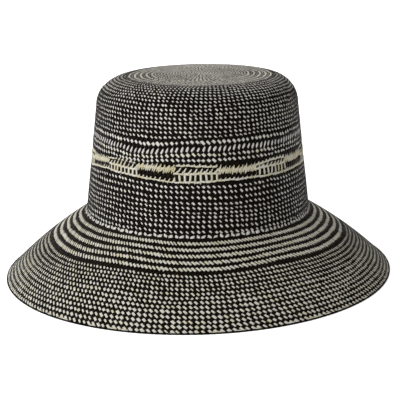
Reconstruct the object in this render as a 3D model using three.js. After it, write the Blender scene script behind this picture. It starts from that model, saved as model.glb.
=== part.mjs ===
// A hand-woven straw bucket hat, in millimetres, +Z up, its front towards -Y.
// Its brim stands on z = 0. The crown and the brim are two walls of woven straw, woven apart
// and sewn together round the head opening.
import * as THREE from "three";

// The wall of woven straw, and the parting between the two pieces at the seam
const wall = 2;
const seamGap = 0.3;

// The crown, from its head opening up. Half-widths are across the hat, outside.
const headHalfWidth = 85;
const headOval = 1.16; // the head opening's length over its width
const shoulderHalfWidth = 76; // where the side wall turns into the shoulder
const tipHalfWidth = 54.2; // where the shoulder runs out into the flat tip
const crownHeight = 102.8;
const shoulderDrop = 20.8;
const tipDome = 1.4;

// The hand-woven crown stands a little askew on its brim
const crownLean = THREE.MathUtils.degToRad(0.7);
const headOffset = 1;
const shoulderOffset = 0.7;
const tipOffset = 3.5;

// The brim, a flare that steepens towards its edge
const brimHalfWidth = 147.4;
const brimHalfLength = 168.3;
const brimDrop = 47.8;
const brimTurn = THREE.MathUtils.degToRad(15); // how much the slope steepens from seam to edge

// How finely the walls are faceted
const segmentsRound = 72;
const tipSteps = 2;
const shoulderSteps = 6;
const sideSteps = 4;
const brimSteps = 6;

// A point of the crown's outer face: half-width, height over the seam and sideways offset turn
// into an oval ring that leans with the crown.
function crownPoint({ halfWidth, height, offset }, angle) {
  const across = halfWidth * Math.cos(angle) + offset;
  return new THREE.Vector3(
    headOffset + across * Math.cos(crownLean) + height * Math.sin(crownLean),
    halfWidth * headOval * Math.sin(angle),
    brimDrop + height * Math.cos(crownLean) - across * Math.sin(crownLean),
  );
}

// The crown's outline from the middle of the tip down to the seam
function crownProfile() {
  const sideHeight = crownHeight - tipDome - shoulderDrop;
  const profile = [];
  for (let step = 0; step <= tipSteps; step++) {
    const out = step / tipSteps;
    profile.push({
      halfWidth: tipHalfWidth * out,
      height: crownHeight - tipDome * out ** 2,
      offset: tipOffset,
    });
  }
  for (let step = 1; step <= shoulderSteps; step++) {
    const turn = ((Math.PI / 2) * step) / shoulderSteps;
    const out = Math.sin(turn);
    profile.push({
      halfWidth: THREE.MathUtils.lerp(tipHalfWidth, shoulderHalfWidth, out),
      height: sideHeight + shoulderDrop * Math.cos(turn),
      offset: THREE.MathUtils.lerp(tipOffset, shoulderOffset, out),
    });
  }
  for (let step = 1; step <= sideSteps; step++) {
    const down = step / sideSteps;
    profile.push({
      halfWidth: THREE.MathUtils.lerp(shoulderHalfWidth, headHalfWidth, down),
      height: sideHeight * (1 - down),
      offset: shoulderOffset * (1 - down),
    });
  }
  return profile;
}

// The brim's outer face runs in a shallow arc from the seam, along = 0, to its edge, along = 1.
function brimPoint(along, angle) {
  const seam = crownPoint({ halfWidth: headHalfWidth, height: 0, offset: 0 }, angle);
  const edge = new THREE.Vector3(
    brimHalfWidth * Math.cos(angle),
    brimHalfLength * Math.sin(angle),
    0,
  );
  const chord = edge.clone().sub(seam);
  const level = Math.hypot(chord.x, chord.y);
  const up = new THREE.Vector3(
    (-chord.z * chord.x) / level,
    (-chord.z * chord.y) / level,
    level,
  ).normalize();
  const radius = chord.length() / 2 / Math.sin(brimTurn / 2);
  const turn = brimTurn * (along - 0.5);
  const share = 0.5 + Math.sin(turn) / Math.sin(brimTurn / 2) / 2;
  const rise = radius * (Math.cos(turn) - Math.cos(brimTurn / 2));
  return seam.addScaledVector(chord, share).addScaledVector(up, rise);
}

// The way out of a face, from the directions round the hat and down it
function outward(pointAt, along, angle) {
  const small = 1e-3;
  const round = pointAt(along, angle + small).sub(pointAt(along, angle - small));
  const down = pointAt(along + small, angle).sub(pointAt(along - small, angle));
  return down.cross(round).normalize();
}

// The point behind an outer one. It is reached along the given direction, and lies a wall's
// thickness behind the face that has this normal.
function behind(point, normal, direction) {
  return point.clone().addScaledVector(direction, -wall / direction.dot(normal));
}

const angles = Array.from(
  { length: segmentsRound },
  (_, index) => (2 * Math.PI * index) / segmentsRound,
);
const crownStations = crownProfile();
const lastStation = crownStations.length - 1;

// The crown's outer face for a station number that may lie between two of the profile's own
function crownAt(station, angle) {
  const from = Math.min(Math.floor(station), lastStation - 1);
  const share = station - from;
  const [a, b] = [crownStations[from], crownStations[from + 1]];
  return crownPoint(a, angle).lerp(crownPoint(b, angle), share);
}

// Both walls meet along the seam in one mitre, parted by the gap
function seamMitre(angle) {
  const ofCrown = outward(crownAt, lastStation - 0.5, angle);
  const ofBrim = outward(brimPoint, 0.01, angle);
  const middle = ofCrown.clone().add(ofBrim).normalize();
  const outer = crownAt(lastStation, angle);
  return { outer, inner: behind(outer, ofCrown, middle) };
}

function shifted(point, rise) {
  return point.clone().add(new THREE.Vector3(0, 0, rise));
}

// One closed mesh from rings of points, each joined to the next. A ring of one point is a pole;
// without poles the last ring is joined to the first.
function closedMesh(rings) {
  const starts = [];
  const points = [];
  for (const ring of rings) {
    starts.push(points.length);
    points.push(...ring);
  }
  const hasPoles = rings[0].length === 1;
  const triangles = [];
  const pairs = hasPoles ? rings.length - 1 : rings.length;
  for (let index = 0; index < pairs; index++) {
    const next = (index + 1) % rings.length;
    const [above, below] = [rings[index].length, rings[next].length];
    for (let side = 0; side < segmentsRound; side++) {
      const after = (side + 1) % segmentsRound;
      const a = starts[index] + (side % above);
      const b = starts[index] + (after % above);
      const c = starts[next] + (side % below);
      const d = starts[next] + (after % below);
      if (below > 1) triangles.push(a, c, d);
      if (above > 1) triangles.push(a, d, b);
    }
  }
  const geometry = new THREE.BufferGeometry().setFromPoints(points);
  geometry.setIndex(triangles);
  geometry.computeVertexNormals();
  return geometry;
}

// The crown's rings run from the middle of the tip down the outside, round the lower rim and up
// the inside to the point under the tip.
function crownGeometry() {
  const outer = [];
  const inner = [];
  for (let station = 1; station < lastStation; station++) {
    outer.push(angles.map((angle) => crownAt(station, angle)));
    inner.push(
      outer.at(-1).map((point, index) => {
        const normal = outward(crownAt, station, angles[index]);
        return behind(point, normal, normal);
      }),
    );
  }
  const rim = angles.map(seamMitre);
  outer.push(rim.map(({ outer }) => shifted(outer, seamGap / 2)));
  inner.push(rim.map(({ inner }) => shifted(inner, seamGap / 2)));
  const top = crownAt(0, 0);
  return closedMesh([[top], ...outer, ...inner.reverse(), [shifted(top, -wall)]]);
}

// The brim: its upper rim follows the seam's mitre, and its lower rim is cut level, so the hat
// stands flat.
function brimGeometry() {
  const rim = angles.map(seamMitre);
  const outer = [rim.map(({ outer }) => shifted(outer, -seamGap / 2))];
  const inner = [rim.map(({ inner }) => shifted(inner, -seamGap / 2))];
  for (let step = 1; step <= brimSteps; step++) {
    const along = step / brimSteps;
    outer.push(angles.map((angle) => brimPoint(along, angle)));
    inner.push(
      outer.at(-1).map((point, index) => {
        const normal = outward(brimPoint, along, angles[index]);
        const level = new THREE.Vector3(normal.x, normal.y, 0).normalize();
        return behind(point, normal, step === brimSteps ? level : normal);
      }),
    );
  }
  return closedMesh([...outer, ...inner.reverse()]);
}

// Natural straw woven with straw dyed black reads as a dark grey-brown from afar
function wovenStraw(name, colour) {
  return new THREE.MeshStandardMaterial({ name, color: colour, roughness: 0.7, metalness: 0 });
}

function piece(name, geometry, material) {
  const mesh = new THREE.Mesh(geometry, material);
  mesh.name = name;
  return mesh;
}

const hat = new THREE.Group();
hat.name = "straw_bucket_hat";
hat.add(piece("crown", crownGeometry(), wovenStraw("woven_straw_crown", 0x5f5b4e)));
hat.add(piece("brim", brimGeometry(), wovenStraw("woven_straw_brim", 0x6a6657)));

export default hat;
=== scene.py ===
# %% [markdown]
# # A straw bucket hat, woven straw by straw
#
# The hat is woven on the slant: natural straws lean one way, black straws the other, and each
# crossing shows one of them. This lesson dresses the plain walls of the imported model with
# those straws. It starts with the frame, which fixes every size.

# %% Load the frame
import math

import bmesh
import bpy
import numpy as np
from mathutils import Matrix, Vector


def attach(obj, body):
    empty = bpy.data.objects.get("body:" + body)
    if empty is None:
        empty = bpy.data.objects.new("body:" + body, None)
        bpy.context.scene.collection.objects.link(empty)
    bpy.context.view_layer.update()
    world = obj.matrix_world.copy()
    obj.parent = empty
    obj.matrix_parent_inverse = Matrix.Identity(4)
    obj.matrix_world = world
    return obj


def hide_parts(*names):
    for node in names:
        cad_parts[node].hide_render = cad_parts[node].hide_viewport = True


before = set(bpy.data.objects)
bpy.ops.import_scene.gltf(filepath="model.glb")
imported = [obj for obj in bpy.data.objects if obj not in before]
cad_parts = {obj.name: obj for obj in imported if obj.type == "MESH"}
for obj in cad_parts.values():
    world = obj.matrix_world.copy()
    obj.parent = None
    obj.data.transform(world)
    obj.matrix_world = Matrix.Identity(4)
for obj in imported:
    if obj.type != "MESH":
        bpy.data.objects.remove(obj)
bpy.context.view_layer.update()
MM = 0.001  # sizes below are in millimetres, and Blender works in metres

# %% [markdown]
# ## The camera
#
# The photograph looks at the front of the hat from about 12 degrees above and a metre away,
# and leans a little. The focal length was measured in pixels of the 400-pixel frame, so it is
# given that way and turned into a lens for Blender's sensor. The Standard view transform
# keeps the colours of the materials as they are given.

# %% Place the camera
FRAME_PIXELS = 400
FOCAL_PIXELS = 1303.5
CAMERA_RISE = math.radians(11.74)
CAMERA_ROLL = math.radians(1.56)
CAMERA_DISTANCE = 1.0
MIDDLE = Vector((0, 0, 0.073))  # the camera is that far from this point
AIM = Vector((0.0028, 0, 0.05205))

bpy.ops.object.select_all(action="DESELECT")
bpy.ops.object.camera_add()
camera = bpy.context.object
camera.data.sensor_width = 36
camera.data.lens = FOCAL_PIXELS / FRAME_PIXELS * camera.data.sensor_width
away = Vector((0, -math.cos(CAMERA_RISE), math.sin(CAMERA_RISE)))
camera_place = MIDDLE + CAMERA_DISTANCE * away
looking = (AIM - camera_place).to_track_quat("-Z", "Y").to_matrix().to_4x4()
rolled = Matrix.Rotation(-CAMERA_ROLL, 4, "Z")
camera.matrix_world = Matrix.Translation(camera_place) @ looking @ rolled
bpy.context.scene.camera = camera
bpy.context.scene.view_settings.view_transform = "Standard"
print("lens", round(camera.data.lens, 1), "mm")

# %% [markdown]
# ## The form that carries the weave
#
# The weave needs to know, for any straw, where on the hat it lies. Two functions give that:
# `turn` goes once round the hat from 0 to 1, and `run` is the way in millimetres down the
# crown from the middle of its tip, or down the brim from the seam. They repeat the named
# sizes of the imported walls, so the straws lie exactly on them.

# %% Sizes of the two walls
WALL = 2
HEAD_HALF_WIDTH = 85
HEAD_OVAL = 1.16
SHOULDER_HALF_WIDTH = 76
TIP_HALF_WIDTH = 54.2
CROWN_HEIGHT = 102.8
SHOULDER_DROP = 20.8
TIP_DOME = 1.4
LEAN = math.radians(0.7)
HEAD_OFFSET = 1
SHOULDER_OFFSET = 0.7
TIP_OFFSET = 3.5
BRIM_HALF_WIDTH = 147.4
BRIM_HALF_LENGTH = 168.3
BRIM_DROP = 47.8
BRIM_TURN = math.radians(15)

SIDE_HEIGHT = CROWN_HEIGHT - TIP_DOME - SHOULDER_DROP
SHOULDER_RUN = math.pi / 4 * (SHOULDER_HALF_WIDTH - TIP_HALF_WIDTH + SHOULDER_DROP)
SIDE_RUN = math.hypot(SIDE_HEIGHT, HEAD_HALF_WIDTH - SHOULDER_HALF_WIDTH)
CROWN_RUN = TIP_HALF_WIDTH + SHOULDER_RUN + SIDE_RUN
BRIM_RUN = 84.8  # at the front
print("crown run", round(CROWN_RUN, 1), "mm, brim run", BRIM_RUN, "mm")


# %% The outer faces
EVEN_SHIFT = 0.037  # spaces the straws evenly round the oval


def angle_at(turn):
    """The angle round the hat, in radians, for a turn from 0 to 1."""
    full = 2 * np.pi * turn
    return full - EVEN_SHIFT * np.sin(2 * full)


def crown_ring(half_width, height, offset, angle):
    """A point of an oval ring that leans with the crown."""
    across = half_width * np.cos(angle) + offset
    x = HEAD_OFFSET + across * math.cos(LEAN) + height * math.sin(LEAN)
    y = half_width * HEAD_OVAL * np.sin(angle)
    z = BRIM_DROP + height * math.cos(LEAN) - across * math.sin(LEAN)
    return np.stack([x, y, z], -1)


def crown_face(turn, run):
    """The crown's outer face: the tip, the quarter turn of the shoulder, then the side."""
    on_tip = np.minimum(run, TIP_HALF_WIDTH)
    bend = np.clip((run - TIP_HALF_WIDTH) / SHOULDER_RUN, 0, 1) * np.pi / 2
    out = np.sin(bend)
    down = np.maximum(run - TIP_HALF_WIDTH - SHOULDER_RUN, 0) / SIDE_RUN
    half_width = (
        on_tip
        + (SHOULDER_HALF_WIDTH - TIP_HALF_WIDTH) * out
        + (HEAD_HALF_WIDTH - SHOULDER_HALF_WIDTH) * down
    )
    height = (
        CROWN_HEIGHT
        - TIP_DOME * (on_tip / TIP_HALF_WIDTH) ** 2
        - SHOULDER_DROP * (1 - np.cos(bend))
        - SIDE_HEIGHT * down
    )
    offset = TIP_OFFSET + (SHOULDER_OFFSET - TIP_OFFSET) * out - SHOULDER_OFFSET * down
    return crown_ring(half_width, height, offset, angle_at(turn))


def brim_face(turn, run):
    """The brim's outer face, a shallow arc from the seam down to the level edge."""
    angle = angle_at(turn)
    seam = crown_ring(HEAD_HALF_WIDTH, 0, 0, angle)
    edge_x = BRIM_HALF_WIDTH * np.cos(angle)
    edge_y = BRIM_HALF_LENGTH * np.sin(angle)
    chord = np.stack([edge_x, edge_y, 0 * angle], -1) - seam
    level = np.hypot(chord[..., 0], chord[..., 1])
    length = np.hypot(level, chord[..., 2])
    steep = -chord[..., 2] / level
    up = np.stack([steep * chord[..., 0], steep * chord[..., 1], level], -1) / length[..., None]
    half_sine = math.sin(BRIM_TURN / 2)
    bend = BRIM_TURN * (run / BRIM_RUN - 0.5)
    share = 0.5 + np.sin(bend) / half_sine / 2
    rise = length / 2 / half_sine * (np.cos(bend) - math.cos(BRIM_TURN / 2))
    return seam + chord * share[..., None] + up * rise[..., None]


def seam_face(turn, run):
    """Both faces in one, with run counted from the seam: crown above it and brim below."""
    above = crown_face(turn, CROWN_RUN + np.minimum(run, 0))
    below = brim_face(turn, np.maximum(run, 0))
    return np.where((run < 0)[..., None], above, below)


def over(face, turn, run, height):
    """Points in metres, at a height over a face along its normal."""
    small_turn = 1e-4
    small_run = 0.05
    middle = face(turn, run)
    ring_way = face(turn + small_turn, run) - face(turn - small_turn, run)
    down_way = face(turn, run + small_run) - face(turn, run - small_run)
    normal = np.cross(down_way, ring_way)
    normal /= np.linalg.norm(normal, axis=-1)[..., None]
    return (middle + normal * height[..., None]) * MM


FRONT = 0.75  # the turn that faces the camera
front_seam = over(seam_face, np.array([FRONT]), np.array([0.0]), np.array([0.0]))
print("seam at the front", front_seam.round(4))

# %% [markdown]
# ## One float of straw
#
# Where a straw passes over its neighbours it shows as a short float: a flat ribbon across its
# middle, with both ends dipping under the crossing straws. It could be one bent quad, but then
# it would have no thickness. It is shaped here once, as by hand, from a small grid: the middle
# is raised, the corners are drawn in and the rim is closed below. There is a square one for
# the plain weave, a pointed one for the twisted straws of the band, and a plain one of six
# triangles for the inside, because the hat carries over twenty thousand on each side.


# %% Shape the floats
def shape_float(name, cells, crest, corner):
    """A float of half-length 1 along x; crest and corner scale the middle and the corners.
    Returns its points and the corners of its faces."""
    bpy.ops.object.select_all(action="DESELECT")
    bpy.ops.mesh.primitive_grid_add(x_subdivisions=cells, y_subdivisions=cells, size=2)
    made = bpy.context.object
    made.name = name
    bpy.ops.object.mode_set(mode="EDIT")
    if cells == 1:
        bpy.ops.mesh.poke()
    shape = bmesh.from_edit_mesh(made.data)
    rim = [v for v in shape.verts if v.is_boundary]
    inner = [v for v in shape.verts if not v.is_boundary]
    corners = [v for v in rim if abs(v.co.x) > 0.9 and abs(v.co.y) > 0.9]

    def pick(chosen):
        bpy.ops.mesh.select_all(action="DESELECT")
        for v in chosen:
            v.select = True
        shape.select_flush(True)
        bmesh.update_edit_mesh(made.data)

    pick(inner)
    bpy.ops.transform.resize(value=(crest[0] * cells, crest[1] * cells, 1))
    bpy.ops.transform.translate(value=(0, 0, 1))
    pick(corners)
    bpy.ops.transform.resize(value=(*corner, 1))
    pick(rim)
    bpy.ops.mesh.edge_face_add()
    bpy.ops.mesh.select_all(action="SELECT")
    bpy.ops.mesh.normals_make_consistent(inside=False)
    bpy.ops.object.mode_set(mode="OBJECT")
    points = np.array([v.co for v in made.data.vertices])
    faces = [list(p.vertices) for p in made.data.polygons]
    bpy.data.objects.remove(made)
    print(name, len(points), "points,", sum(len(f) - 2 for f in faces), "triangles")
    return points, faces


SQUARE_FLOAT = shape_float("square_float", 3, (0.7, 0.84), (0.96, 0.92))
POINTED_FLOAT = shape_float("pointed_float", 3, (0.5, 0.7), (1.0, 0.15))
PLAIN_FLOAT = shape_float("plain_float", 1, (1, 1), (0.95, 0.95))

# %% [markdown]
# ## Laying the weave
#
# A course is one row of floats round the hat. Each float has its middle, and two arrows as
# steps in turn and run: along its straw, and across it. Columns and half-rows are the
# weaver's squares, and a straw that leans right goes half a column on with each half-row.
# Inside the hat the crossing shows the other straw, so each course is laid on both sides.
# A hand keeps neither rows nor straws quite even, so slow waves shift the rows, a few pulls
# draw them together beside the front as in the photograph, each straw keeps a width and a tone
# of its own along its slanting way, and each float differs a little. The black straws stand
# higher on the side and on the brim, and the natural ones on the tip: seen at a slant, the
# higher colour hides the lower one, as the photograph's darker outline and lighter tip show.

# %% How far the hand strays
draw = np.random.default_rng(1847)
HEAD_ROUND = 580  # millimetres round the head, to turn a way along a row into a turn
EVEN_START = 20  # over so many millimetres from the start of a piece the rows grow uneven
EVEN_END = 12  # and over these they grow even again before the brim's edge
ROW_WAVES = (
    {"waves": 2, "length": 80, "size": 0.3},
    {"waves": 3, "length": 60, "size": 0.22},
    {"waves": 5, "length": 23, "size": 0.18},
    {"waves": 11, "length": 35, "size": 0.16},
    {"waves": 23, "length": 13, "size": 0.14},
)
COLUMN_WAVES = (
    {"waves": 4, "length": 31, "size": 0.3},
    {"waves": 9, "length": 19, "size": 0.25},
    {"waves": 17, "length": 11, "size": 0.18},
)
WAVE_ANGLE = 6  # radians that a wave goes on down its length, a little less than once round
ON_CROWN = ("crown", "band")
PULLS = (
    {"parts": ON_CROWN, "turn": 0.667, "run": 107, "turns": 0.049, "runs": 11, "down": 2.4},
    {"parts": ON_CROWN, "turn": 0.625, "run": 131, "turns": 0.062, "runs": 7, "down": -3.2},
    {"parts": ON_CROWN, "turn": 0.611, "run": 143, "turns": 0.062, "runs": 9, "down": -1.4},
    {"parts": ON_CROWN, "turn": 0.826, "run": 150, "turns": 0.056, "runs": 10, "down": 2.0},
    {"parts": ("brim",), "turn": 0.672, "run": 38, "turns": 0.045, "runs": 36, "down": -3.1},
    {"parts": ("brim",), "turn": 0.835, "run": 35, "turns": 0.05, "runs": 36, "down": -2.4},
)
wave_starts = draw.random(16) * 2 * np.pi  # a few more than there are waves
print("rows stray by up to", round(sum(wave["size"] for wave in ROW_WAVES), 2), "mm, besides pulls")


def strayed(part, middle):
    """Shifts the middles of floats by slow waves that run over rows and columns, and by pulls.
    The rows stay even near the start of a piece, so that none crosses the middle of the tip,
    and near the brim's edge, so that none passes it."""
    turn, run = middle[:, 0], middle[:, 1]
    shifts = np.zeros(len(middle)), np.zeros(len(middle))
    starts = iter(wave_starts)
    for shift, waves in zip(shifts, (COLUMN_WAVES, ROW_WAVES)):
        for wave in waves:
            along_row = 2 * np.pi * wave["waves"] * turn
            down_rows = run / wave["length"] * WAVE_ANGLE
            shift += wave["size"] * np.sin(along_row + down_rows + next(starts))
    row_shift = shifts[1] * np.clip(run / EVEN_START, 0, 1)
    if part == "brim":
        row_shift = row_shift * np.clip((BRIM_RUN - run) / EVEN_END, 0, 1)
    for pull in PULLS:
        if part in pull["parts"]:
            beside, below = turn - pull["turn"], run - pull["run"]
            row_shift = row_shift + pull["down"] * np.exp(
                -(beside / pull["turns"]) ** 2 - (below / pull["runs"]) ** 2)
    return np.stack([turn + shifts[0] / HEAD_ROUND, run + row_shift], -1)


# %% Lay a course
LEANS = {"right": ((0.5, 1.0), (-0.5, 1.0)), "left": ((-0.5, 1.0), (0.5, 1.0))}
SIDE_RISE = {"natural": 0.5, "black": 2.1}  # how far the straws of each colour stand up
STRAWS = 509  # a prime, so that their tones never fall in step with the columns
straw_tones = draw.random(STRAWS)
straw_widths = 0.84 + 0.32 * draw.random(STRAWS)
laid = []


def lay(part, side, colour, middle, along, across, tone, rise=1.0):
    """Keeps floats, to be made into meshes later; tone and rise scale their colour and height."""
    laid.append({
        "place": (part, side, colour),
        "middle": middle,
        "along": along,
        "across": across,
        "tone": np.clip(tone, 0, 1),
        "rise": np.full(len(tone), rise),
    })


def course(part, run, step, columns, colour, lean="right", long=1.0, wide=0.47, shift=0.0,
           warm=0.08, outside=True, inside=True, loose=0.07, rises=SIDE_RISE):
    """A row of floats round the hat: run and the half-row's step are in millimetres, long and
    wide in crossings. Part of a tone is the straw's own, and part the float's."""
    count = np.arange(columns) + shift
    scale = np.array([1 / columns, step])
    along, across = (np.array(way) / 2 * scale for way in LEANS[lean])
    slant = 1 if lean == "right" else -1
    straw = np.floor(2 * count - slant * run / step).astype(int) % len(straw_tones)
    tone = warm + (1 - warm) * (0.35 * straw_tones[straw] + 0.4 * draw.random(columns))
    middle = np.stack([count / columns, np.full(columns, float(run))], -1)
    middle = strayed(part, middle + draw.normal(0, loose, (columns, 2)) * scale)
    along = along * long * draw.normal(1, 0.1, (columns, 1))
    across = across * wide * straw_widths[straw][:, None] * draw.normal(1, 0.12, (columns, 1))
    other = "black" if colour == "natural" else "natural"
    if outside:
        lay(part, "outside", colour, middle, along, across, tone, rises[colour])
    if inside:
        lay(part, "inside", other, middle, across, along, tone, rises[other])


# %% [markdown]
# ## The weaver's chart
#
# Plain zones are charted with one letter for each half-row from the top down, N for natural
# and B for black. Single letters give the dots. A doubled letter is a float over two
# crossings, which gives the zigzag rings of the tip and of the brim. The natural straws are
# split narrower than the black ones, so their dots are lozenges with black all round.


# %% Read a chart
def chart(part, start, step, columns, rows, natural=(1.0, 0.47), black=(1.3, 0.84),
          doubled=(2.15, 0.78), **given):
    """Lays the charted rows and returns the run where the next one begins. Single floats have
    the natural or the black length and width, doubled ones their own."""
    ways = {"N": ("natural", "right", 1, natural), "B": ("black", "left", -1, black)}
    index = 0
    while index < len(rows):
        colour, lean, way, shape = ways[rows[index]]
        crossed = 2 if rows[index:index + 2] == rows[index] * 2 else 1
        shift = 0.5 * (index % 2) + 0.25 * way * (crossed - 1)
        run = start + step * (index + (crossed - 1) / 2)
        long, wide = shape if crossed == 1 else doubled
        course(part, run, step, columns, colour, lean, long, wide, shift, **given)
        index += crossed
    return start + step * len(rows)


# %% [markdown]
# ## The tip
#
# The weaver starts with a few straws in the middle of the tip and doubles them four times on
# the way out. Five light zigzag rings follow, with dots in the dark rings between them. Each
# ring starts on the same columns, so the dots stand in rays. The fifth ring lies where the tip
# turns into the shoulder, so it is charted with the crown, whose floats are higher.

# %% Chart the tip
SIDE_COLUMNS = 144
TIP_START = 1.6
TIP_STEP = 1.075
TIP_RING_STEP = 0.84
TIP_RISE = {"natural": 1.3, "black": 0.55}
SHOULDER_RISE = {"natural": 0.85, "black": 1.0}
TIP_WARM = 0.3
TIP_RING = (1.95, 1.0)  # length and width of the doubled floats
TIP_GROWTH = (
    {"doubled": 4, "rows": "NB"},
    {"doubled": 3, "rows": "NB" * 3},
    {"doubled": 2, "rows": "NB" * 4},
    {"doubled": 1, "rows": "NB" * 8},
)
TIP_RINGS = (
    {"doubled": 1, "rows": "NNBNB"},
    {"doubled": 1, "rows": "NNBNB"},
    {"doubled": 0, "rows": "NNBNB"},
    {"doubled": 0, "rows": "NNBNB"},
)
end = TIP_START
for zone in TIP_GROWTH:
    columns = SIDE_COLUMNS // 2 ** zone["doubled"]
    natural = (1.2, 0.6 + 0.07 * zone["doubled"])
    end = chart("tip", end, TIP_STEP, columns, zone["rows"], natural, (1.3, 0.9),
                warm=TIP_WARM, rises=TIP_RISE)
for zone in TIP_RINGS:
    columns = SIDE_COLUMNS // 2 ** zone["doubled"]
    end = chart("tip", end, TIP_RING_STEP, columns, zone["rows"], (1.1, 0.32), (1.35, 1.05),
                TIP_RING, warm=TIP_WARM, rises=TIP_RISE)
end = chart("crown", end, TIP_RING_STEP, SIDE_COLUMNS, "NN", doubled=TIP_RING, warm=TIP_WARM,
            rises=SHOULDER_RISE)
print("tip woven to", round(end, 1), "mm")

# %% [markdown]
# ## The crown's side
#
# Dots run down the shoulder and the side, closer on the shoulder. Above the band one row
# stands taller and leans the other way, and the row below it is fuller.

# %% Chart the upper side
SHOULDER_START = 54.15
SHOULDER_STEP = 1.325
SIDE_START = 75.5
SIDE_STEP = 1.535
BLACK_ROW = {"colour": "black", "lean": "left", "wide": 1.0, "shift": 0.5}
chart("crown", SHOULDER_START, SHOULDER_STEP, SIDE_COLUMNS, "BN" * 8, rises=SHOULDER_RISE)
chart("crown", SIDE_START, SIDE_STEP, SIDE_COLUMNS, "BN" * 8)
course("crown", 100.4, 1.8, SIDE_COLUMNS, **BLACK_ROW)
course("crown", 102.4, 1.8, SIDE_COLUMNS, "natural", long=1.3, wide=0.72)
course("crown", 104.4, 2.2, SIDE_COLUMNS, **BLACK_ROW)
course("crown", 109.5, 2.0, SIDE_COLUMNS, "black", "right", wide=0.9, shift=0.5)
course("crown", 111.3, 1.7, SIDE_COLUMNS, "natural", long=1.4, wide=0.62, warm=0.4)
course("crown", 113.2, 1.8, SIDE_COLUMNS, **BLACK_ROW)
course("crown", 114.9, 1.6, SIDE_COLUMNS, "natural", long=1.25, wide=0.62)
course("crown", 117.0, 1.8, SIDE_COLUMNS, **BLACK_ROW)
print("rows of floats so far", len(laid))

# %% [markdown]
# ## The band
#
# The band repeats nine times round the crown, with two figures side by side. One is a ladder:
# three light lines, a black zigzag between the upper two, and black ovals between light rungs
# below. The other is a light block with spikes up and down, over a black bar and a thin
# toothed line. Straws are twisted round each other here, so letters no longer serve, and each
# kind of straw is set by its run, its colour, its angle, its length and its width, in that
# order, then by how far it is shifted along the row, in columns.


# %% Measures of the band
BAND_REPEAT = 16
LADDER_FIRST = 103.5  # the column where the ladder at the front begins
LADDER_WIDTH = 8.5
LADDER_MIDDLE = LADDER_FIRST + LADDER_WIDTH / 2
SPIKES = 162  # closer than the columns
TALL_ROW = 107.5  # runs in millimetres, as for all rows
BAND_TOP = 119.4
BLOCK_MIDDLE = 121.4
ZIGZAG = 121.6
BAND_MIDDLE = 124.1
BAR = 126.4
RUNGS = 126.8
BAND_FOOT = 130.1
DRIFT_WAVES = 3  # the hand lets the band climb and fall this often round the crown
print("the band repeats", SIDE_COLUMNS // BAND_REPEAT, "times")


# %% Single straws
def straws(part, run, colour, angle, long, wide, shift=0.0, where=None, columns=SIDE_COLUMNS,
           warm=0.75, rise=1.0, swell=0.0, drift=0.0, loose=0.12):
    """Straws in a row round the head, in millimetres; at 90 degrees they stand upright. The row
    swells away from the middles of the ladders and drifts up and down round the crown."""
    place = (np.arange(columns) + shift) / columns
    if where is not None:
        place = place[where(place * SIDE_COLUMNS)]
    size = len(place)
    beside = place * SIDE_COLUMNS - LADDER_MIDDLE
    run = run + swell * np.cos(2 * np.pi * beside / BAND_REPEAT)
    run = run + drift * np.sin(2 * np.pi * DRIFT_WAVES * beside / SIDE_COLUMNS)
    turned = np.radians(angle + draw.normal(0, 5, size))
    scale = np.array([1 / HEAD_ROUND, 1])
    along = np.stack([np.cos(turned), -np.sin(turned)], -1) * scale / 2
    across = np.stack([np.sin(turned), np.cos(turned)], -1) * scale / 2
    middle = strayed(part, np.stack([place, run], -1) + draw.normal(0, loose, (size, 2)) * scale)
    along = along * long * draw.normal(1, 0.08, (size, 1))
    across = across * wide * draw.normal(1, 0.1, (size, 1))
    tone = warm + 0.3 * (draw.random(size) - 0.5)
    lay(part, "outside", colour, middle, along, across, tone, rise)


# %% The line round the tip and the tall row
TIP_EDGE = 55.2
straws("crown", TIP_EDGE, "black", 0, 5.0, 0.9, rise=1.5, loose=0.05)
straws("band", TALL_ROW, "natural", 60, 5.7, 1.8, warm=0.3)
straws("band", TALL_ROW, "black", 95, 4.6, 1.8, shift=0.5, rise=0.9)


# %% The ladders
def in_ladder(column):
    return (column - LADDER_FIRST) % BAND_REPEAT < LADDER_WIDTH


def in_block(column):
    return ~in_ladder(column)


top_line = {"where": in_ladder, "swell": -0.8, "drift": 1.5}
straws("band", BAND_TOP, "natural", 6, 5.6, 1.5, 0.0, **top_line)
straws("band", BAND_TOP - 0.7, "natural", 60, 3.0, 1.4, 0.3, **top_line)
straws("band", ZIGZAG, "black", 58, 4.6, 3.0, 0.0, in_ladder, rise=0.9, drift=0.8)
straws("band", ZIGZAG + 0.4, "natural", 58, 4.4, 1.2, 0.5, in_ladder, drift=0.8)
straws("band", BAND_MIDDLE - 0.7, "natural", 68, 3.0, 1.4, 0.1, in_ladder, rise=1.1)
straws("band", BAND_MIDDLE, "natural", -4, 5.8, 1.5, 0.0, in_ladder, rise=1.1)
rungs = {"where": in_ladder, "swell": 0.4, "drift": -0.8}
straws("band", RUNGS, "natural", 93, 7.0, 2.0, 0.5, rise=0.9, **rungs)
straws("band", RUNGS, "black", 93, 5.0, 3.1, 0.0, rise=0.8, **rungs)
foot_line = {"swell": 0.3, "drift": -0.3}
straws("band", BAND_FOOT, "natural", 3, 5.8, 1.5, 0.0, in_ladder, rise=1.1, **foot_line)
straws("band", BAND_FOOT + 0.6, "natural", 108, 2.4, 1.4, 0.4, in_ladder, **foot_line)

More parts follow.
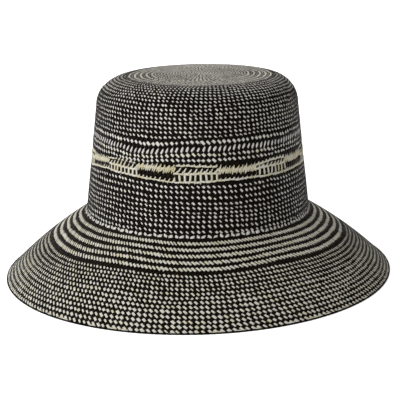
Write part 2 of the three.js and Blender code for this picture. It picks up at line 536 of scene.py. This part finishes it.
# %% The blocks
block = {"where": in_block, "columns": SPIKES}
body = {"swell": -0.5, "drift": 1.1, **block}
straws("band", BAR, "black", 62, 5.0, 2.6, 0.25, rise=1.1, drift=0.5, **block)
straws("band", BLOCK_MIDDLE, "natural", 6, 5.0, 2.2, warm=0.85, rise=0.4, **body)
straws("band", BLOCK_MIDDLE - 0.1, "natural", 68, 7.0, 1.45, 0.0, warm=0.85, **body)
straws("band", BLOCK_MIDDLE + 0.5, "natural", 62, 6.0, 1.35, 0.5, warm=0.9, **body)
straws("band", BAND_FOOT, "natural", -3, 5.0, 1.3, rise=1.1, **foot_line, **block)
straws("band", BAND_FOOT - 0.7, "natural", 62, 4.0, 1.1, 0.2, **foot_line, **block)
band_floats = sum(len(floats["tone"]) for floats in laid if floats["place"][0] == "band")
print("straws in the band", band_floats)

# %% The band from inside
INSIDE_START = 118.6
INSIDE_END = 131.5
INSIDE_STEP = 1.55
for run in np.arange(INSIDE_START, INSIDE_END, 2 * INSIDE_STEP):
    course("crown", run, INSIDE_STEP, SIDE_COLUMNS, "natural", outside=False)
    course("crown", run + INSIDE_STEP, INSIDE_STEP, SIDE_COLUMNS, **BLACK_ROW, outside=False)
print("plain rows behind the band, the last at", round(run + INSIDE_STEP, 1), "mm")

# %% Chart the lower side
LOWER_ROWS = (134.0, 137.4, 141.3, 145.0, 148.2, 151.4, 154.5, 157.9, 161.5, 165.4, 168.8)
# The last one is the seam's own, and ends the row above it
course("crown", 131.9, 1.6, SIDE_COLUMNS, **BLACK_ROW)
for above, below in zip(LOWER_ROWS, LOWER_ROWS[1:]):
    step = (below - above) / 2
    course("crown", above, step, SIDE_COLUMNS, "natural")
    course("crown", above + step, step, SIDE_COLUMNS, **BLACK_ROW)
print("rows of dots below the band", len(LOWER_ROWS) - 1)

# %% [markdown]
# ## The seam and the brim
#
# Where the crown meets the brim, thicker natural stitches stand in uneven pairs. The brim
# begins with five light zigzag rings and goes on in dots to its edge.


# %% Stitch the seam
def first_of_pair(column):
    return column % 2 < 1


def second_of_pair(column):
    return column % 2 >= 1


straws("seam", -0.3, "natural", -38, 4.0, 2.1, 0.1, first_of_pair, warm=0.4, rise=1.1)
straws("seam", 0.0, "natural", 12, 4.2, 2.7, 1.0, second_of_pair, warm=0.4, rise=1.2)
straws("seam", -0.1, "black", 60, 3.4, 1.5, 0.55, first_of_pair, rise=1.1)
straws("seam", -0.1, "black", 75, 3.4, 1.5, 0.55, second_of_pair, rise=1.1)
straws("seam", 2.0, "black", 5, 5.0, 1.6, rise=0.8)

# %% Chart the brim
BRIM_COLUMNS = 240
RINGS_START = 0.9
RING_STEP = 1.57
DOTS_START = 36.36
DOT_STEP = 1.8375
BRIM_RISE = {"natural": 0.8, "black": 1.5}
chart("brim", RINGS_START, RING_STEP, BRIM_COLUMNS, "BBB" + "NNBB" * 5, warm=0.5, loose=0.05,
      rises=BRIM_RISE)
dots = {"warm": 0.45, "loose": 0.05, "rises": BRIM_RISE}
near_edge = (1.3, 0.64)
end = chart("brim", DOTS_START, DOT_STEP, BRIM_COLUMNS, "BN" * 5, (1.15, 0.55), **dots)
end = chart("brim", end, DOT_STEP, BRIM_COLUMNS, "BN" * 6, near_edge, **dots)
chart("brim", end, DOT_STEP, BRIM_COLUMNS, "BN" * 2, near_edge, inside=False, **dots)


# %% Natural straws in the turned edge
def now_and_then(column):
    return draw.random(len(column)) < 0.3


straws("brim", BRIM_RUN - 1.4, "natural", -8, 3.4, 1.2, 0.5, now_and_then, BRIM_COLUMNS, rise=1.3)
for part in ("tip", "crown", "band", "seam", "brim"):
    amounts = [len(f["tone"]) for f in laid if f["place"][:2] == (part, "outside")]
    print(part, sum(amounts), "floats outside")

# %% [markdown]
# ## From courses to meshes
#
# Each piece is one joined mesh of the floats of one colour, worked out as arrays: the float
# shaped above is stretched along its two arrows, set on the wall and raised along the wall's
# normal. Its tone goes with it for the material, and a map that runs along the straw in
# millimetres.


# %% Join the floats
def joined(name, spots, loops, sizes):
    """An object from points, the points of all face corners in order, and the faces' sizes."""
    mesh = bpy.data.meshes.new(name)
    mesh.vertices.add(len(spots))
    mesh.vertices.foreach_set("co", spots.ravel())
    mesh.loops.add(len(loops))
    mesh.loops.foreach_set("vertex_index", loops.astype(np.int32))
    mesh.polygons.add(len(sizes))
    starts = np.cumsum(sizes) - sizes
    mesh.polygons.foreach_set("loop_start", starts.astype(np.int32))
    mesh.update(calc_edges=True)
    mesh.polygons.foreach_set("use_smooth", np.ones(len(sizes), bool))
    piece = bpy.data.objects.new(name, mesh)
    bpy.context.scene.collection.objects.link(piece)
    return piece


def weave(name, place, face, shape, crest, sink=0.1):
    """One piece from the floats of one part, side and colour. In its map each float lies at a
    place of its own, set by its tone, so that no two show the same fibres."""
    points, faces = shape
    chosen = [floats for floats in laid if floats["place"] == place]
    keys = ("middle", "along", "across", "tone", "rise")
    middle, along, across, tone, rise = (np.concatenate([f[key] for f in chosen]) for key in keys)
    spot = middle[:, None] + along[:, None] * points[:, :1] + across[:, None] * points[:, 1:2]
    lift = crest * (rise * (0.85 + 0.3 * tone))[:, None] * points[:, 2] - sink
    inside = place[1] == "inside"
    if inside:
        lift = -WALL - lift
    spots = over(face, spot[..., 0], spot[..., 1], lift)

    mirrored = along[:, 0] * across[:, 1] < along[:, 1] * across[:, 0]
    onward = np.concatenate(faces)
    backward = np.concatenate([f[::-1] for f in faces])
    loops = np.where((mirrored != inside)[:, None], backward, onward)
    loops = (loops + np.arange(len(tone))[:, None] * len(points)).ravel()
    sizes = np.tile([len(f) for f in faces], len(tone))
    piece = joined(name, spots.reshape(-1, 3), loops, sizes)

    tones = piece.data.attributes.new("tone", "FLOAT", "POINT")
    tones.data.foreach_set("value", np.repeat(tone, len(points)).astype(np.float32))
    ends = spots[:, [0, len(points) - 1]] / MM
    half_long = np.linalg.norm(ends[:, 1] - ends[:, 0], axis=-1) / 3
    float_of, point_of = np.divmod(loops, len(points))
    u = points[point_of, 0] * half_long[float_of] + tone[float_of] * 97
    v = points[point_of, 1] * half_long[float_of] * 0.7 + tone[float_of] * 31
    straw_map = piece.data.uv_layers.new(name="along_straw")
    straw_map.data.foreach_set("uv", np.stack([u, v], -1).ravel().astype(np.float32))
    triangles = len(tone) * sum(len(f) - 2 for f in faces)
    print(name, len(tone), "floats,", triangles, "triangles")
    return piece


PARTS = {
    "tip": {"face": crown_face, "shape": SQUARE_FLOAT, "crest": 0.06},
    "crown": {"face": crown_face, "shape": SQUARE_FLOAT, "crest": 0.2},
    "band": {"face": crown_face, "shape": POINTED_FLOAT, "crest": 0.35},
    "seam": {"face": seam_face, "shape": SQUARE_FLOAT, "crest": 0.5},
    "brim": {"face": brim_face, "shape": SQUARE_FLOAT, "crest": 0.18},
}
pieces = {}
for part, made in PARTS.items():
    for colour in ("natural", "black"):
        name = f"{part}_{colour}_straw"
        place = (part, "outside", colour)
        pieces[name] = weave(name, place, made["face"], made["shape"], made["crest"])
        place = (part, "inside", colour)
        if any(floats["place"] == place for floats in laid):
            name = f"{part}_inside_{colour}_straw"
            pieces[name] = weave(name, place, made["face"], PLAIN_FLOAT, made["crest"])

# %% [markdown]
# ## The ground under the floats
#
# Between the floats one sees only the dark of the crossing straws: their black dye, and the
# shade in the gaps. A thin wall inside the weave stands for them, and its colour, a little
# darker than the black floats, paints that shade. It is a sheet of squares rolled into the
# form of the crown and of the brim, then given its thickness.


# %% Roll the ground walls
def ground(name, face, first, last, round_steps, down_steps, sink=0.25):
    """A closed wall between two runs, sunk under the floats of both sides."""
    bpy.ops.object.select_all(action="DESELECT")
    bpy.ops.mesh.primitive_grid_add(x_subdivisions=round_steps, y_subdivisions=down_steps, size=2)
    made = bpy.context.object
    made.name = name
    made.data.name = name
    flat = np.array([v.co for v in made.data.vertices])
    turn = (flat[:, 0] + 1) / 2
    run = first + (last - first) * (1 - flat[:, 1]) / 2
    spots = over(face, turn, run, np.full(len(turn), -sink))
    made.data.vertices.foreach_set("co", spots.ravel())
    bpy.ops.object.mode_set(mode="EDIT")
    bpy.ops.mesh.select_all(action="SELECT")
    bpy.ops.mesh.remove_doubles(threshold=0.02 * MM)
    bpy.ops.mesh.normals_make_consistent(inside=False)
    bpy.ops.object.mode_set(mode="OBJECT")
    wall = made.modifiers.new("wall", "SOLIDIFY")
    wall.thickness = (WALL - 2 * sink) * MM
    wall.offset = -1
    bpy.ops.object.modifier_apply(modifier=wall.name)
    spots = np.array([v.co for v in made.data.vertices])
    spots[:, 2] = np.maximum(spots[:, 2], 0)  # the rim is level, so that the hat stands on it
    made.data.vertices.foreach_set("co", spots.ravel())
    bpy.ops.object.shade_smooth_by_angle(angle=math.radians(40))
    print(name, len(made.data.polygons), "faces, lowest", round(spots[:, 2].min() / MM, 2), "mm")
    return made


pieces["crown_ground"] = ground("crown_ground", crown_face, 0.005, CROWN_RUN - 0.2, 96, 48)
pieces["brim_ground"] = ground("brim_ground", brim_face, 0.2, BRIM_RUN - 0.6, 120, 20)

# %% [markdown]
# ## The turned edge
#
# At the brim's edge the straws are turned back and twisted into a thin dark cord, and here and
# there a natural straw shows in it. The cord starts as a sheet of squares, whose points are
# rolled into a tube round the edge, with low ridges that wind along it, and the two ends of the
# sheet are merged.

# %% Wind the edge
EDGE_RADIUS = 0.6
EDGE_RIDGES = 240
EDGE_STEPS = 960
RIDGE_HEIGHT = 0.12  # as a share of the radius
EDGE_INSET = 0.3
EDGE_SINK = 0.5
bpy.ops.object.select_all(action="DESELECT")
bpy.ops.mesh.primitive_grid_add(x_subdivisions=EDGE_STEPS, y_subdivisions=8, size=2)
edge = bpy.context.object
edge.name = "brim_edge_turn"
edge.data.name = edge.name
sheet = np.array([v.co for v in edge.data.vertices])
turn = (sheet[:, 0] + 1) / 2
section = sheet[:, 1] * np.pi
ridge = 1 + RIDGE_HEIGHT * np.cos(2 * np.pi * EDGE_RIDGES * turn + section)
run = np.full(len(turn), BRIM_RUN - EDGE_INSET)
core = over(brim_face, turn, run, np.full(len(turn), -EDGE_SINK)) / MM
core[:, 2] = np.maximum(core[:, 2], EDGE_RADIUS * (1 + RIDGE_HEIGHT))
outward = core[:, :2] / np.linalg.norm(core[:, :2], axis=-1)[:, None]
core[:, :2] += outward * (EDGE_RADIUS * ridge * np.cos(section))[:, None]
core[:, 2] += EDGE_RADIUS * ridge * np.sin(section)
edge.data.vertices.foreach_set("co", (core * MM).ravel())
bpy.ops.object.mode_set(mode="EDIT")
bpy.ops.mesh.select_all(action="SELECT")
bpy.ops.mesh.remove_doubles(threshold=0.01 * MM)
bpy.ops.mesh.normals_make_consistent(inside=False)
bpy.ops.object.mode_set(mode="OBJECT")
bpy.ops.object.shade_smooth()
pieces["brim_edge_turn"] = edge
print("edge", len(edge.data.polygons), "faces, lowest", round(core[:, 2].min(), 2), "mm")

# %% [markdown]
# ## Materials
#
# The straw is a split palm leaf: long fibres side by side, and a tone that changes from straw
# to straw. The natural one is bleached and matt, and the black one keeps a trace of warm sheen
# under its dye. One pattern of fibres both shades the straw and raises its bump. Colours are
# given as sRGB and turned to linear by one function, and one function adds a node with its
# settings and links.


# %% Colour and node helpers
def linear(code):
    parts = [int(code[i:i + 2], 16) / 255 for i in (1, 3, 5)]
    return tuple(p / 12.92 if p <= 0.04045 else ((p + 0.055) / 1.055) ** 2.4 for p in parts) + (1,)


def add_node(tree, kind, settings, **links):
    """Adds a node; settings are properties or input values, links go to the named inputs."""
    made = tree.nodes.new(kind)
    for name, value in settings.items():
        if name in made.inputs:
            made.inputs[name].default_value = value
        else:
            setattr(made, name, value)
    for name, source in links.items():
        tree.links.new(source, made.inputs[name])
    return made


# %% Split straw
FIBRES_PER_MM = 3.0  # real fibres are finer, and would not show
FIBRE_LENGTH = 8.0


def split_straw(name, tones, roughness, gloss, sheen):
    """Straw whose tone runs through the colours, which are pairs of place and sRGB code."""
    material = bpy.data.materials.new(name)
    material.use_nodes = True
    tree = material.node_tree
    shader = tree.nodes["Principled BSDF"]
    tone = add_node(tree, "ShaderNodeAttribute", {"attribute_name": "tone"})
    ramp = add_node(tree, "ShaderNodeValToRGB", {}, Fac=tone.outputs["Fac"])
    stops = ramp.color_ramp.elements
    for place, _ in tones[1:-1]:
        stops.new(place)
    for stop, (place, code) in zip(stops, tones):
        stop.position = place
        stop.color = linear(code)
    straw_map = add_node(tree, "ShaderNodeUVMap", {"uv_map": "along_straw"})
    stretch = add_node(tree, "ShaderNodeMapping", {"Scale": (1 / FIBRE_LENGTH, FIBRES_PER_MM, 1)},
                       Vector=straw_map.outputs["UV"])
    fibre = add_node(tree, "ShaderNodeTexNoise", {"Scale": 1.0, "Detail": 2.0},
                     Vector=stretch.outputs["Vector"])
    shade = add_node(tree, "ShaderNodeMapRange",
                     {"From Min": 0.3, "From Max": 0.7, "To Min": 0.86, "To Max": 1.1},
                     Value=fibre.outputs["Fac"])
    shaded = add_node(tree, "ShaderNodeVectorMath", {"operation": "SCALE"},
                      Vector=ramp.outputs["Color"], Scale=shade.outputs["Result"])
    tree.links.new(shaded.outputs["Vector"], shader.inputs["Base Color"])
    ridges = add_node(tree, "ShaderNodeBump", {"Strength": 0.4, "Distance": 0.06 * MM},
                      Height=fibre.outputs["Fac"])
    tree.links.new(ridges.outputs["Normal"], shader.inputs["Normal"])
    shader.inputs["Roughness"].default_value = roughness
    shader.inputs["Specular IOR Level"].default_value = gloss
    shader.inputs["Sheen Weight"].default_value = sheen
    shader.inputs["Sheen Roughness"].default_value = 0.3
    shader.inputs["Sheen Tint"].default_value = linear("#CDB996")
    return material


NATURAL_TONES = ((0.0, "#A1A09E"), (0.35, "#AAA8A3"), (0.7, "#ADAA9D"), (1.0, "#A29775"))
BLACK_TONES = ((0.0, "#050302"), (0.6, "#090603"), (1.0, "#140D06"))
natural_straw = split_straw("split_palm_straw_bleached", NATURAL_TONES, 0.6, 0.3, 0.0)
black_straw = split_straw("split_palm_straw_dyed_black", BLACK_TONES, 0.45, 0.04, 0.05)


# %% Straw in the crossings, with painted shade
def dyed_straw_with_painted_shade(name, dark, less_dark):
    """The dyed straw under the floats: its own black, darker and mottled as painted shade in the
    gaps.
    """
    material = bpy.data.materials.new(name)
    material.use_nodes = True
    tree = material.node_tree
    shader = tree.nodes["Principled BSDF"]
    place = add_node(tree, "ShaderNodeTexCoord", {})
    # A noise mottles the colour between the two darks: painted shade in the gaps between floats.
    shade_mottle = add_node(tree, "ShaderNodeTexNoise", {"Scale": 1 / (2.3 * MM), "Detail": 1.0},
                      Vector=place.outputs["Object"])
    ramp = add_node(tree, "ShaderNodeValToRGB", {}, Fac=shade_mottle.outputs["Fac"])
    ramp.color_ramp.elements[0].color = linear(dark)
    ramp.color_ramp.elements[1].color = linear(less_dark)
    tree.links.new(ramp.outputs["Color"], shader.inputs["Base Color"])
    shader.inputs["Roughness"].default_value = 0.85
    shader.inputs["Specular IOR Level"].default_value = 0.05
    return material


# A little darker than the black floats: the dye's own black with painted shade in the gaps. The
# ground walls and the edge cord take it.
dyed_straw_and_shade = dyed_straw_with_painted_shade("dyed_straw_and_painted_shade", "#040201", "#0D0905")
for name, piece in pieces.items():
    piece.data.materials.clear()
    if "natural" in name:
        piece.data.materials.append(natural_straw)
    elif "black" in name:
        piece.data.materials.append(black_straw)
    else:
        piece.data.materials.append(dyed_straw_and_shade)
    print(name, "in", piece.data.materials[0].name)

# %% [markdown]
# ## Studio
#
# The hat stands on white paper in a white room. The room's light comes more from the front
# left than from the back right, as from a window or a wall of softboxes: lamps could do that
# too, but the light of a room has no edges. The paper glows a little, so it stays white right
# up to the hat. A softbox at the front left gives the straws their form, and a weaker one
# behind lights the tip and the back.

# %% Floor
bpy.ops.object.select_all(action="DESELECT")
bpy.ops.mesh.primitive_plane_add(size=16)
floor = bpy.context.object
floor.name = "floor"
paper = bpy.data.materials.new("white_paper")
paper.use_nodes = True
paper_shader = paper.node_tree.nodes["Principled BSDF"]
paper_shader.inputs["Base Color"].default_value = linear("#FFFFFF")
paper_shader.inputs["Roughness"].default_value = 0.9
paper_shader.inputs["Specular IOR Level"].default_value = 0
paper_shader.inputs["Emission Color"].default_value = linear("#FFFFFF")
paper_shader.inputs["Emission Strength"].default_value = 0.3  # a table lit from below
floor.data.materials.append(paper)

# %% Lights
LAMP_AIM = Vector((0, 0, 0.07))


def softbox(name, place, size, power):
    """A square lamp of a size in metres, turned to the hat."""
    turned = (LAMP_AIM - Vector(place)).to_track_quat("-Z", "Y").to_euler()
    bpy.ops.object.light_add(type="AREA", location=place, rotation=turned)
    lamp = bpy.context.object
    lamp.name = name
    lamp.data.size = size
    lamp.data.energy = power
    print(name, power, "W")


softbox("left_softbox", (-1.76, -1.18, 1.08), 0.9, 28)
softbox("back_softbox", (0.5, 1.4, 1.7), 1.0, 15)

# %% The room's light
LIGHT_WAY = Vector((-0.84, -0.54, 0))  # where the light comes from
LIGHT_CONTRAST = 1.0
LIGHT_MEAN = 0.82
world = bpy.data.worlds.new("white_studio")
bpy.context.scene.world = world
world.use_nodes = True
room = world.node_tree
way = add_node(room, "ShaderNodeTexCoord", {})
share = add_node(room, "ShaderNodeVectorMath", {"operation": "DOT_PRODUCT"})
room.links.new(way.outputs["Generated"], share.inputs[0])
share.inputs[1].default_value = LIGHT_WAY
strength = add_node(room, "ShaderNodeMath", {"operation": "MULTIPLY_ADD"})
room.links.new(share.outputs["Value"], strength.inputs[0])
strength.inputs[1].default_value = LIGHT_CONTRAST
strength.inputs[2].default_value = LIGHT_MEAN
background = room.nodes["Background"]
background.inputs["Color"].default_value = (1, 1, 1, 1)
room.links.new(strength.outputs["Value"], background.inputs["Strength"])

# %% [markdown]
# ## Hand over
#
# Nothing on the hat moves by itself, so every piece rides on the one body. The two ground
# walls stand for the imported walls.

# %% Ride and replace
for name, piece in pieces.items():
    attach(piece, "root")
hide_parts("crown")
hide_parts("brim")
